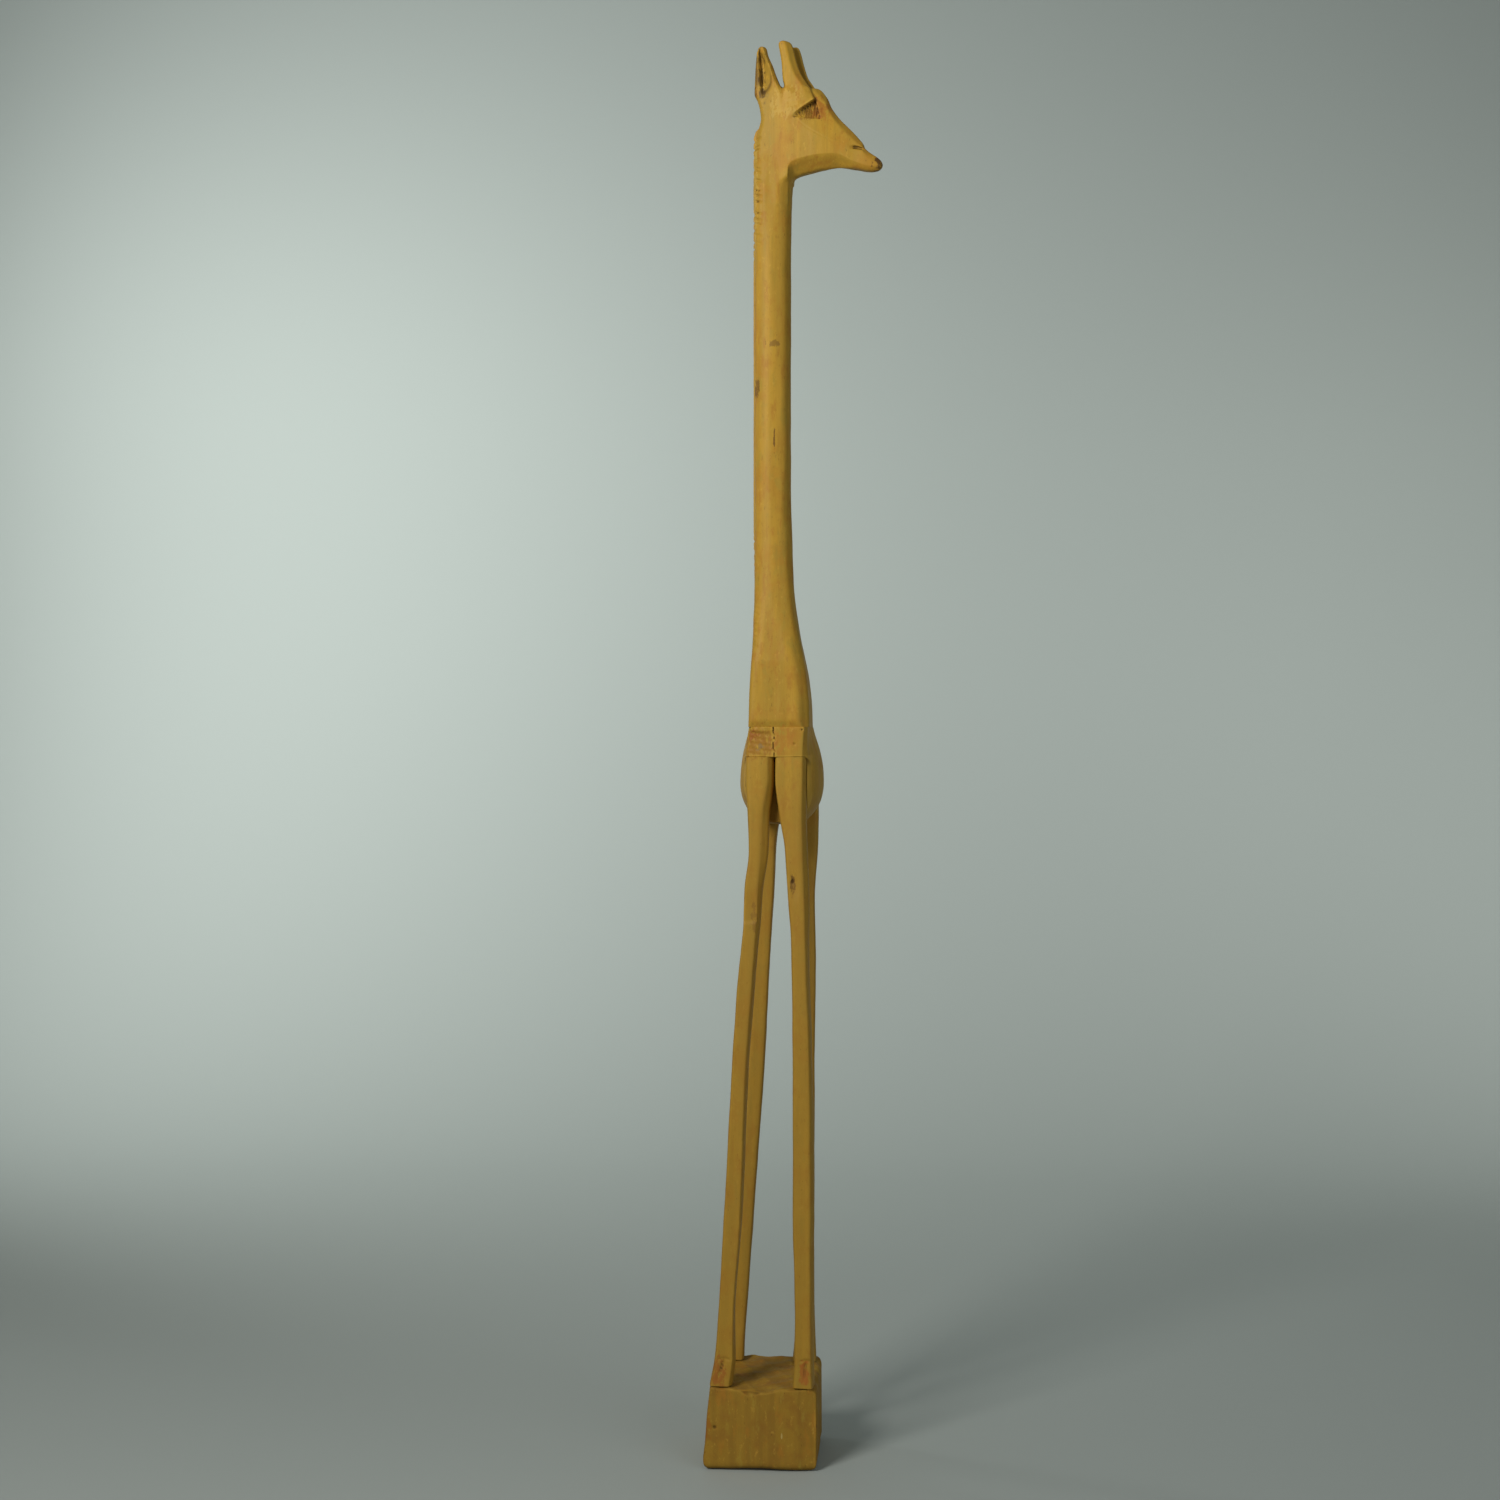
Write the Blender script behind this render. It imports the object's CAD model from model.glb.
import math

import bmesh
import bpy
import numpy as np
import openvdb
from mathutils import Matrix, Vector


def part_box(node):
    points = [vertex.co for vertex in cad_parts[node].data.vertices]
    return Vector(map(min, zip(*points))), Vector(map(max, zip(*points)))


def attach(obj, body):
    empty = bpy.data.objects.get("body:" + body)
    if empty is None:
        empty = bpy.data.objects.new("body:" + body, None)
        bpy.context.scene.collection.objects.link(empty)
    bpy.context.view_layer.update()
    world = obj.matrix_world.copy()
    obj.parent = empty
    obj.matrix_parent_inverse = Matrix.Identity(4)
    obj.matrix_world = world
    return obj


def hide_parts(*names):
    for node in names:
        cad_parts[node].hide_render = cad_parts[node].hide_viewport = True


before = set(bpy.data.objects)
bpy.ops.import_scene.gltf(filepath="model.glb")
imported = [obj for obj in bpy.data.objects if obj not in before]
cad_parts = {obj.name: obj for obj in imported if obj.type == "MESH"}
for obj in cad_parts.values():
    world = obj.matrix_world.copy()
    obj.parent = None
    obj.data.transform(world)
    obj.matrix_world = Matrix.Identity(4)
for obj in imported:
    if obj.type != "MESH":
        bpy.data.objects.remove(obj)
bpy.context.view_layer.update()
print("frame loaded:", len(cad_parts), "pieces")

mm = 0.001


# places that come from the frame, in millimetres

def cadSize(node):
    low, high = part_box(node)
    return np.array(low) / mm, np.array(high) / mm


blockLow, blockHigh = cadSize("base_block")
bodyLow, bodyHigh = cadSize("body")
neckLow, neckHigh = cadSize("neck")
headLow, headHigh = cadSize("head")
blockTop = blockHigh[2]
bellyZ = bodyLow[2]
shoulderZ = bodyHigh[2]
napeZ = neckHigh[2]
crownZ = headHigh[2]

joints = {
    "lapDrop": 21.0,      # from the shoulder joint down to the leg tops
    "lapFront": -21.0,    # plane between the front leg tops and the body
    "lapRear": 21.0,
    "tenon": 4.0,         # radius of the legs' tenons
    "footTenon": 22.0,
    "topTenon": 13.0,
    "neckDowel": (10.6, -10.5, 8.1, 30.6),    # x, y, radius and reach of the hole
    "headDowel": (7.7, -16.5, 5.1, 22.6),
    "peg": 2.2,           # radius of the pegs under the horns and ears
    "pegLength": 9.0,
    "slack": 0.1,         # room round a tenon in its hole
}
lapZ = shoulderZ - joints["lapDrop"]

headFrame = {
    "axisX": 7.7,
    "axisY": -16.5,
    "turn": math.radians(-8),    # the muzzle points this far off +X
    "maneTurn": math.radians(160),
}


# shapes as fields: negative inside, zero on the surface, in millimetres

def along(t, knots):
    # a smooth curve through (t, value) knots that never overshoots them
    ts = np.array([k[0] for k in knots], float)
    vs = np.array([k[1] for k in knots], float)
    order = np.argsort(ts)
    ts, vs = ts[order], vs[order]
    rise = np.diff(vs) / np.diff(ts)
    slope = np.zeros(len(ts))
    slope[0], slope[-1] = rise[0], rise[-1]
    same = rise[:-1] * rise[1:] > 0
    both = np.where(same, rise[:-1] + rise[1:], 1)
    slope[1:-1] = np.where(same, 2 * rise[:-1] * rise[1:] / both, 0)
    t = np.clip(t, ts[0], ts[-1])
    i = np.clip(np.searchsorted(ts, t) - 1, 0, len(ts) - 2)
    span = ts[i + 1] - ts[i]
    s = (t - ts[i]) / span
    return ((1 + 2 * s) * (1 - s) ** 2 * vs[i] + s * (1 - s) ** 2 * span * slope[i]
            + s * s * (3 - 2 * s) * vs[i + 1] + s * s * (s - 1) * span * slope[i + 1])


def both(a, b, k=0.0):
    # what lies in both, with the edge between them rounded over about k
    if np.max(k) <= 0:
        return np.maximum(a, b)
    h = np.maximum(k - np.abs(a - b), 0) / k
    return np.maximum(a, b) + h * h * k * 0.25


def either(a, b, k=0.0):
    return -both(-a, -b, k)


def without(solid, tool, k=0.0):
    return both(solid, -tool, k)


def strip(x, y, left, right, front, back, bevels, k):
    # an upright strip with a bevel on each corner: front left, front right, back left, back right
    f = both(np.maximum(left - x, x - right), np.maximum(front - y, y - back), k)
    corners = ((left, front, -1, -1), (right, front, 1, -1), (left, back, -1, 1), (right, back, 1, 1))
    for (cx, cy, sx, sy), size in zip(corners, bevels):
        f = both(f, (sx * (x - cx) + sy * (y - cy) + size) / math.sqrt(2), k)
    return f


def post(x, y, cx, cy, r):
    return np.sqrt((x - cx) ** 2 + (y - cy) ** 2) - r


def slab(z, low, high):
    return np.maximum(low - z, z - high)


def ball(x, y, z, centre, radii):
    q = np.sqrt(sum(((a - c) / r) ** 2 for a, c, r in zip((x, y, z), centre, radii)))
    return (q - 1) * min(radii)


def vGroove(a, depthIn, centre, halfWidth, depth):
    # a groove across a, cut from the face at depthIn = 0
    return (np.abs(a - centre) - halfWidth * (1 - depthIn / depth)) * 0.8


# from field to mesh

def placed(name, data):
    made = bpy.data.objects.new(name, data)
    bpy.context.scene.collection.objects.link(made)
    return made


def sample(values, points, low, step):
    q = np.clip((points - low) / step, 0, np.array(values.shape) - 1.001)
    i = q.astype(int)
    f = q - i
    total = 0
    for dx in (0, 1):
        for dy in (0, 1):
            for dz in (0, 1):
                w = np.abs(1 - dx - f[:, 0]) * np.abs(1 - dy - f[:, 1]) * np.abs(1 - dz - f[:, 2])
                total = total + w * values[i[:, 0] + dx, i[:, 1] + dy, i[:, 2] + dz]
    return total


def carve(name, field, low, high, step, holes=()):
    # meshes the field's surface, and notes how hollow or how sharp each place was before the holes
    low = np.array(low, float)
    counts = [int(math.ceil((h - l) / step)) + 1 for l, h in zip(low, high)]
    x = (low[0] + step * np.arange(counts[0]))[:, None, None]
    y = (low[1] + step * np.arange(counts[1]))[None, :, None]
    z = (low[2] + step * np.arange(counts[2]))[None, None, :]
    values = np.broadcast_to(field(x, y, z), counts).astype(np.float32)
    bored = drilled(values, x, y, z, holes).astype(np.float32) if holes else values
    grid = openvdb.FloatGrid(1.0)
    grid.copyFromArray(np.clip(bored, -3 * step, 3 * step))
    points, quads = grid.convertToQuads()
    points = points.astype(float) * step + low
    a, b, c, d = (points[quads[:, i]] for i in range(4))
    face = np.cross(c - a, d - b)
    if np.einsum("ij,ij->i", a, face).sum() < 0:
        quads = quads[:, ::-1]
        face = -face
    normals = np.zeros_like(points)
    for i in range(4):
        np.add.at(normals, quads[:, i], face)
    normals /= np.linalg.norm(normals, axis=1)[:, None] + 1e-12
    reach = 2.4
    hollow = 1 - sample(values, points + normals * reach, low, step) / reach
    edge = 1 + sample(values, points - normals * reach, low, step) / reach
    mesh = bpy.data.meshes.new(name)
    mesh.from_pydata(points * mm, [], quads)
    for label, data in (("hollow", hollow), ("edge", edge)):
        layer = mesh.attributes.new(label, "FLOAT", "POINT")
        layer.data.foreach_set("value", np.clip(data, 0, 1).astype(np.float32))
    mesh.shade_smooth()
    return placed(name, mesh)


def saw(piece, planes):
    # cuts a piece flat at joint planes, each a point and the direction of the part thrown away
    bm = bmesh.new()
    bm.from_mesh(piece.data)
    for point, away in planes:
        geometry = bm.verts[:] + bm.edges[:] + bm.faces[:]
        result = bmesh.ops.bisect_plane(bm, geom=geometry, plane_co=Vector(point) * mm, plane_no=Vector(away),
                                        clear_outer=True, dist=1e-7)
        rim = [e for e in result["geom_cut"] if isinstance(e, bmesh.types.BMEdge)]
        for e in rim:
            e.smooth = False
        cap = bmesh.ops.triangle_fill(bm, edges=rim, use_beauty=True, use_dissolve=False, normal=Vector(away))
        for f in cap["geom"]:
            if isinstance(f, bmesh.types.BMFace):
                f.smooth = False
    bmesh.ops.recalc_face_normals(bm, faces=bm.faces[:])
    bm.to_mesh(piece.data)
    bm.free()


def addPeg(piece, x, y, lowZ, highZ, r):
    # a round tenon with a small lead-in bevel, left as its own closed shell inside the piece
    bm = bmesh.new()
    bm.from_mesh(piece.data)
    place = Matrix.Translation((x * mm, y * mm, (lowZ + highZ) / 2 * mm))
    made = bmesh.ops.create_cone(bm, cap_ends=True, segments=40, radius1=r * mm, radius2=r * mm,
                                 depth=(highZ - lowZ) * mm, matrix=place)
    rims = {e for v in made["verts"] for e in v.link_edges if abs(e.verts[0].co.z - e.verts[1].co.z) < 1e-6}
    bmesh.ops.bevel(bm, geom=list(rims), offset=0.5 * mm, segments=2, affect="EDGES")
    bm.to_mesh(piece.data)
    bm.free()


# node trees written as expressions

class Value:
    # one output socket, with the arithmetic that the trees below use
    def __init__(self, nodes, socket):
        self.nodes = nodes
        self.socket = socket

    def maths(self, operation, *others, flip=False):
        values = [self, *others]
        if flip:
            values.reverse()
        return self.nodes.add("ShaderNodeMath", {"operation": operation}, dict(enumerate(values)))

    def __add__(self, other):
        return self.maths("ADD", other)

    def __radd__(self, other):
        return self.maths("ADD", other)

    def __sub__(self, other):
        return self.maths("SUBTRACT", other)

    def __rsub__(self, other):
        return self.maths("SUBTRACT", other, flip=True)

    def __mul__(self, other):
        return self.maths("MULTIPLY", other)

    def __truediv__(self, other):
        return self.maths("DIVIDE", other)

    def __rtruediv__(self, other):
        return self.maths("DIVIDE", other, flip=True)

    def __pow__(self, other):
        return self.maths("POWER", other)

    def most(self, other):
        return self.maths("MAXIMUM", other)

    def ramp(self, low, high):
        # 0 at low, 1 at high and smooth between them, whichever way round they are
        return self.nodes.add("ShaderNodeMapRange", {"interpolation_type": "SMOOTHSTEP"},
                              {"Value": self, "From Min": low, "From Max": high})


class Nodes:
    def __init__(self, tree):
        self.tree = tree

    def add(self, kind, settings=None, inputs=None, output=0):
        node = self.tree.nodes.new(kind)
        for key, value in (settings or {}).items():
            setattr(node, key, value)
        for key, value in (inputs or {}).items():
            socket = node.inputs[key]
            if isinstance(value, Value):
                self.tree.links.new(value.socket, socket)
            else:
                socket.default_value = value
        return Value(self, node.outputs[output])

    def mix(self, factor, a, b):
        # colours only
        return self.add("ShaderNodeMix", {"data_type": "RGBA", "clamp_factor": True},
                        {0: factor, 6: a, 7: b}, 2)

    def noise(self, place, detail, roughness=0.5, scale=1.0, output=0):
        return self.add("ShaderNodeTexNoise", {}, {"Vector": place, "Scale": scale, "Detail": detail,
                                                   "Roughness": roughness}, output)

    def vector(self, operation, a, b=None, scale=None):
        inputs = {0: a}
        if b is not None:
            inputs[1] = b
        if scale is not None:
            inputs["Scale"] = scale
        return self.add("ShaderNodeVectorMath", {"operation": operation}, inputs)


def geometryTree(name, fields):
    # an empty geometry tree whose inputs are a dictionary of names and values
    tree = bpy.data.node_groups.new(name, "GeometryNodeTree")
    tree.interface.new_socket("Geometry", in_out="INPUT", socket_type="NodeSocketGeometry")
    for label, value in fields.items():
        kind = {int: "NodeSocketInt", float: "NodeSocketFloat"}.get(type(value), "NodeSocketMaterial")
        tree.interface.new_socket(label, in_out="INPUT", socket_type=kind)
    tree.interface.new_socket("Geometry", in_out="OUTPUT", socket_type="NodeSocketGeometry")
    nodes = Nodes(tree)
    source = nodes.add("NodeGroupInput").socket.node
    given = {s.name: Value(nodes, s) for s in source.outputs if s.name}
    return tree, nodes, given


def closeTree(nodes, geometry, material):
    real = nodes.add("GeometryNodeRealizeInstances", {}, {"Geometry": geometry})
    dressed = nodes.add("GeometryNodeSetMaterial", {}, {"Geometry": real, "Material": material})
    nodes.tree.links.new(dressed.socket, nodes.tree.nodes.new("NodeGroupOutput").inputs[0])


def runTree(piece, tree, fields):
    # puts the tree on a piece, sets its inputs, and keeps the result as a plain mesh
    modifier = piece.modifiers.new(tree.name, "NODES")
    modifier.node_group = tree
    for item in tree.interface.items_tree:
        if item.in_out == "INPUT" and item.name in fields:
            modifier[item.identifier] = fields[item.name]
    depsgraph = bpy.context.evaluated_depsgraph_get()
    made = bpy.data.meshes.new_from_object(piece.evaluated_get(depsgraph))
    made.name = piece.name
    piece.modifiers.clear()
    piece.data = made


def ringed(x, y, corners, k):
    # inside a ring of corners given anticlockwise, each free to move with height
    f = None
    for (ax, ay), (bx, by) in zip(corners, corners[1:] + corners[:1]):
        length = np.sqrt((bx - ax) ** 2 + (by - ay) ** 2)
        d = ((x - ax) * (by - ay) - (y - ay) * (bx - ax)) / length
        f = d if f is None else both(f, d, k)
    return f


def pegCentre(node, low, high):
    # middle of the CAD's tenon, found between two heights
    points = np.array([v.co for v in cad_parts[node].data.vertices]) / mm
    part = points[(points[:, 2] > low) & (points[:, 2] < high)]
    return (part.min(0)[:2] + part.max(0)[:2]) / 2


# knife marks, laid over every carved piece

knifeMarks = {
    "Wobble": 0.35,        # depth of the slow waver left by the adze
    "Wobble Size": 26.0,
    "Facet": 0.45,         # depth of the single knife strokes
    "Facet Width": 9.0,
    "Facet Length": 46.0,
    "Tremor": 0.07,        # depth of the finest unevenness
    "Seed": 3,
}


def knifeTree():
    tree, nodes, given = geometryTree("knifeMarks", {**knifeMarks, "Material": None})
    place = nodes.add("GeometryNodeInputPosition")
    normal = nodes.add("GeometryNodeInputNormal")
    inMm = nodes.vector("SCALE", place, scale=1000.0)
    seed = given["Seed"] * 17.3
    moved = nodes.add("ShaderNodeCombineXYZ", {}, {0: seed, 1: seed, 2: seed})
    here = nodes.vector("ADD", inMm, moved)
    slow = nodes.noise(here, 1.0, scale=1.0 / given["Wobble Size"])
    stretch = nodes.add("ShaderNodeCombineXYZ", {}, {0: 1 / given["Facet Width"], 1: 1 / given["Facet Width"],
                                                     2: 1 / given["Facet Length"]})
    cell = nodes.vector("MULTIPLY", here, stretch)
    warp = nodes.noise(cell, 1.0, scale=0.8, output=1)
    bent = nodes.vector("ADD", cell, nodes.vector("SCALE", warp, scale=0.5))
    stroke = nodes.add("ShaderNodeTexVoronoi", {"feature": "SMOOTH_F1"},
                       {"Vector": bent, "Scale": 1.0, "Smoothness": 0.12, "Randomness": 0.9})
    tremor = nodes.noise(nodes.vector("MULTIPLY", here, (0.5, 0.5, 0.12)), 2.0)
    worked = nodes.add("GeometryNodeInputNamedAttribute", {"data_type": "FLOAT"}, {"Name": "worked"})
    depth = (slow - 0.5) * given["Wobble"] * 2.0 - (0.55 - stroke).most(0.0) * given["Facet"] * 1.3
    depth = (depth + (tremor - 0.5) * given["Tremor"] * 2.0 - 0.1) * worked * 0.001
    shift = nodes.vector("SCALE", normal, scale=depth)
    shaped = nodes.add("GeometryNodeSetPosition", {}, {"Geometry": given["Geometry"], "Offset": shift})
    closeTree(nodes, shaped, given["Material"])
    return tree


knife = knifeTree()


def markWorked(piece, holes):
    # holes for tenons and dowels stay as drilled: (x, y, radius, low, high) each
    mesh = piece.data
    co = np.empty(len(mesh.vertices) * 3)
    mesh.vertices.foreach_get("co", co)
    co = co.reshape(-1, 3) / mm
    worked = np.ones(len(co))
    for hx, hy, r, low, high in holes:
        near = np.hypot(co[:, 0] - hx, co[:, 1] - hy) < r + 0.6
        worked[near & (co[:, 2] > low - 1) & (co[:, 2] < high + 1)] = 0
    layer = mesh.attributes.new("worked", "FLOAT", "POINT")
    layer.data.foreach_set("value", worked.astype(np.float32))


def whittle(piece, holes=(), **changes):
    markWorked(piece, holes)
    runTree(piece, knife, {**knifeMarks, "Material": wood, **changes})


def drilled(f, x, y, z, holes):
    for hx, hy, r, low, high in holes:
        f = without(f, both(post(x, y, hx, hy, r), slab(z, low, high)))
    return f


# wood

# waves to the millimetre across and along the grain, detail and roughness of each noise
woodNoise = {
    "fibre": (1.1, 0.035, 5.0, 0.62),
    "fine": (3.0, 0.16, 3.0, 0.7),
    "rings": (0.16, 0.008, 3.0, 0.55),
    "blotch": (0.055, 0.055, 4.0, 0.6),
    "speck": (0.9, 0.3, 2.0, 0.5),
    "patch": (0.34, 0.2, 5.0, 0.65),
    "smudge": (0.13, 0.045, 6.0, 0.7),
}


def woodMaterial(name, look):
    material = bpy.data.materials.new(name)
    material.use_nodes = True
    tree = material.node_tree
    tree.nodes.clear()
    nodes = Nodes(tree)
    inMm = nodes.vector("SCALE", nodes.add("ShaderNodeTexCoord", output=3), scale=1000.0)
    x, y, z = (nodes.add("ShaderNodeSeparateXYZ", {}, {0: inMm}, i) for i in range(3))
    hollow = nodes.add("ShaderNodeAttribute", {"attribute_name": "hollow"}, output=2)
    edge = nodes.add("ShaderNodeAttribute", {"attribute_name": "edge"}, output=2)
    noise = {}
    for label, (wide, tall, detail, roughness) in woodNoise.items():
        noise[label] = nodes.noise(nodes.vector("MULTIPLY", inMm, (wide, wide, tall)), detail, roughness)
    fibre, fine, patch, speck = (noise[label] for label in ("fibre", "fine", "patch", "speck"))
    # each layer is where it starts and is full, how strong it is, and its colour
    layers = ((noise["blotch"], 0.46, 0.66, look["blotch"], "stain"),
              (fibre, 0.45, 0.7, look["fibre"], "streak"),
              (noise["smudge"], 0.53, 0.66, look["smudge"], "rust"),
              (noise["smudge"], 0.46, 0.34, look["smudge"] * 0.8, "moss"),
              (patch, 0.58, 0.7, look["fleck"], "pale"),
              (patch, 0.42, 0.3, look["fleck"], "streak"),
              (z, 520.0, 430.0, look["grime"], "low"),
              (edge, 0.2, 0.7, look["wear"], "pale"))
    base = nodes.mix(noise["rings"].ramp(0.36, 0.64), look["dark"], look["light"])
    for source, start, full, amount, colour in layers:
        base = nodes.mix(source.ramp(start, full) * amount, base, look[colour])
    for spot in look["spots"]:
        base = stainSpot(nodes, base, (x, y, z), patch, spot)
    base = nodes.mix(hollow.ramp(0.10, 0.55) * look["dirt"], base, look["soot"])
    base = nodes.mix(speck.ramp(0.68, 0.78) * look["speck"], base, look["soot"])
    rough = look["rough"] + (fine - 0.5) * 0.2 + hollow.ramp(0.1, 0.6) * 0.2
    height = fibre * 0.4 + fine * 0.3 + speck.ramp(0.62, 0.72) * -0.3
    bump = nodes.add("ShaderNodeBump", {}, {"Strength": look["grain"], "Distance": 0.0003, "Height": height})
    shader = nodes.add("ShaderNodeBsdfPrincipled", {},
                       {"Base Color": base, "Roughness": rough, "Normal": bump})
    shader.socket.node.inputs["Specular IOR Level"].default_value = look["shine"]
    nodes.tree.links.new(shader.socket, nodes.tree.nodes.new("ShaderNodeOutputMaterial").inputs[0])
    return material


def stainSpot(nodes, base, place, patch, spot):
    # a soft patch of another colour round a point: middle, half sizes, colour, strength
    middle, half, colour, strength = spot
    away = 0
    for axis, at, reach in zip(place, middle, half):
        away = ((axis - at) / reach) ** 2.0 + away
    away = away + (patch - 0.5) * 7.0
    return nodes.mix(away.ramp(1.1, 0.3) * strength, base, colour)


def rgb(r, g, b, a=1.0):
    # display colour from 0 to 255 into the linear colour that a socket takes
    def linear(c):
        c = c / 255
        return c / 12.92 if c <= 0.04045 else ((c + 0.055) / 1.055) ** 2.4
    return (linear(r), linear(g), linear(b), a)


carvedLook = {
    "light": rgb(182, 140, 46),
    "dark": rgb(170, 133, 46),
    "streak": rgb(146, 104, 34),
    "stain": rgb(172, 120, 38),
    "pale": rgb(198, 156, 62),
    "rust": rgb(164, 112, 38),
    "moss": rgb(158, 132, 50),
    "smudge": 0.6,
    "fleck": 0.4,
    "low": rgb(144, 108, 36),
    "grime": 0.5,
    "soot": rgb(52, 32, 14),
    "fibre": 0.14,
    "blotch": 0.55,
    "wear": 0.45,
    "dirt": 0.7,
    "speck": 0.45,
    "rough": 0.56,
    "grain": 0.12,
    "shine": 0.2,
    # middle, half sizes, colour and strength of each old stain, in millimetres
    "spots": (((-1, -35, 503), (12, 6, 11), rgb(150, 100, 36), 0.6),
              ((-6, -35, 507), (4.5, 5, 4), rgb(150, 76, 34), 0.5),
              ((0, -35, 499), (3.2, 4, 2.4), rgb(132, 118, 84), 0.5),
              ((-4, -24, 748), (3, 7, 7), rgb(96, 60, 26), 0.7),
              ((17, -30, 945), (11, 7, 11), rgb(206, 172, 86), 0.35),
              ((9.5, -29, 712), (0.6, 4, 9), rgb(100, 66, 28), 0.8),
              ((9, -29, 779), (6, 4, 2.4), rgb(110, 76, 32), 0.6),
              ((16, -35, 503), (8, 6, 9), rgb(176, 116, 42), 0.5),
              ((34, -31, 937), (9, 6, 5), rgb(126, 84, 30), 0.7),
              ((42, -27, 940), (7, 12, 9), rgb(158, 92, 34), 0.55),
              ((32, -8, 948), (9, 9, 12), rgb(104, 66, 26), 0.7),
              ((84, -27, 902), (6, 10, 9), rgb(74, 48, 28), 0.85),
              ((-4.2, -26.5, 970), (2.8, 8, 24), rgb(92, 56, 26), 0.85),
              ((2, -28, 968), (7, 5, 20), rgb(140, 112, 42), 0.5),
              ((0.9, -27, 962), (2.2, 6, 17), rgb(86, 62, 26), 0.75),
              ((-5.5, -24, 884), (3.5, 9, 48), rgb(200, 166, 80), 0.45),
              ((22.8, -37, 404), (2.0, 3, 9), rgb(96, 62, 28), 0.7),
              ((-4, -37, 382), (2.5, 3, 12), rgb(120, 84, 34), 0.5),
              ((-28.5, -38, 68), (5, 4, 11), rgb(150, 82, 34), 0.6),
              ((30.8, -38, 68), (3.5, 4, 9), rgb(160, 80, 34), 0.6)),
}
wood = woodMaterial("carvedWood", carvedLook)
blockSpots = (((39.5, -30, 34), (3, 5, 8), rgb(58, 38, 20), 0.85),
              ((-38, -37, 33), (5, 5, 13), rgb(150, 88, 30), 0.5),
              ((15.4, -39, 25), (0.6, 4, 2), rgb(200, 176, 110), 0.5))
blockWood = woodMaterial("blockWood", {**carvedLook, "light": rgb(152, 116, 40), "dark": rgb(140, 106, 38),
                                       "stain": rgb(136, 94, 36), "grime": 0.0, "rough": 0.7, "shine": 0.12,
                                       "spots": blockSpots})
dowelWood = woodMaterial("dowelWood", {**carvedLook, "light": rgb(150, 112, 64), "dark": rgb(128, 92, 50),
                                       "dirt": 0.2, "spots": ()})
print("wood ready")


# base block

legFeet = {name: pegCentre(name, blockTop - 24, blockTop - 2) for name in
           ("leg_front_right", "leg_front_left", "leg_rear_right", "leg_rear_left")}
legTops = {name: pegCentre(name, lapZ + 2, lapZ + 20) for name in legFeet}

block = {
    "inset": 0.15,         # kept inside the CAD's box for the knife marks
    "corner": 3.0,         # bevel of the upright corners
    "round": 2.5,
    "lean": 4.6,           # how far the left face leans in at the top
    "ridgeX": 16.0,        # where the front splits into two facets
    "ridgeBack": 3.2,
    "dip": 2.4,            # hollow worn in the front top edge
    "arch": 1.2,           # lift under the middle
}


def blockField(x, y, z):
    b = block
    low, high = blockLow + b["inset"], blockHigh - b["inset"]
    left = low[0] + b["lean"] * np.clip((z - 8) / (blockTop - 8), 0, 1)
    f = strip(x, y, left, high[0], low[1], high[1], (0.6, b["corner"] * 0.6, b["corner"], b["corner"]), 1.6)
    side = (y - low[1]) * -1 + (x - b["ridgeX"]) * b["ridgeBack"] / (high[0] - b["ridgeX"])
    f = both(f, side, 0.8)
    hollow = np.exp(-((x + 2) / 13) ** 2 - ((y - low[1]) / 14) ** 2) * b["dip"]
    hollow = hollow + 0.7 * np.exp(-((x - 4) / 20) ** 2 - (y / 22) ** 2)
    gouges = 0.7 * np.abs(np.sin(0.17 * x + 0.1 * y + 1)) + 0.6 * np.abs(np.sin(0.12 * x - 0.21 * y))
    hollow = hollow + gouges * np.clip((36 - np.abs(x - 1)) / 8, 0, 1)
    f = both(f, z - blockTop + hollow, b["round"] * 0.5)
    arch = b["arch"] * np.exp(-(x / 16) ** 2)
    f = both(f, arch - z, b["round"] * 2.4)
    # a chip out of the front top edge, and a small pit in the front
    f = without(f, ball(x, y, z, (-6, low[1] - 2, blockTop - 2.5), (6.5, 4.5, 3.2)), 1.0)
    f = without(f, ball(x, y, z, (-31, low[1] - 0.4, 30), (1.6, 1.5, 1.3)), 0.5)
    f = both(f, (x - high[0] + z - blockTop + 3.2 + 0.8 * np.sin(y * 0.3)) / 1.41, 1.5)
    crack = ball(x, y, z, (high[0] + 0.4, -27, 35), (2.2, 5.5, 7.5))
    crack = np.minimum(crack, ball(x, y, z, (high[0] + 0.4, -29, 24), (1.9, 3.5, 4.5)))
    return without(f, crack, 0.4)


blockHoles = [(*place, joints["tenon"] + joints["slack"], blockTop - joints["footTenon"] - 0.6, blockTop + 5)
              for place in legFeet.values()]
basePiece = carve("baseBlock", blockField, blockLow - 4, blockHigh + 4, 0.8, blockHoles)
whittle(basePiece, blockHoles, Material=blockWood, Facet=0.5, **{"Facet Width": 16.0, "Facet Length": 24.0})
saw(basePiece, [((0, 0, blockTop), (0, 0, 1)), ((0, 0, 0), (0, 0, -1))])
print("base block carved")


# legs: the edges of the front and side faces at a few heights
# each row is height, front face from, leftmost, front face to, rightmost

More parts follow.
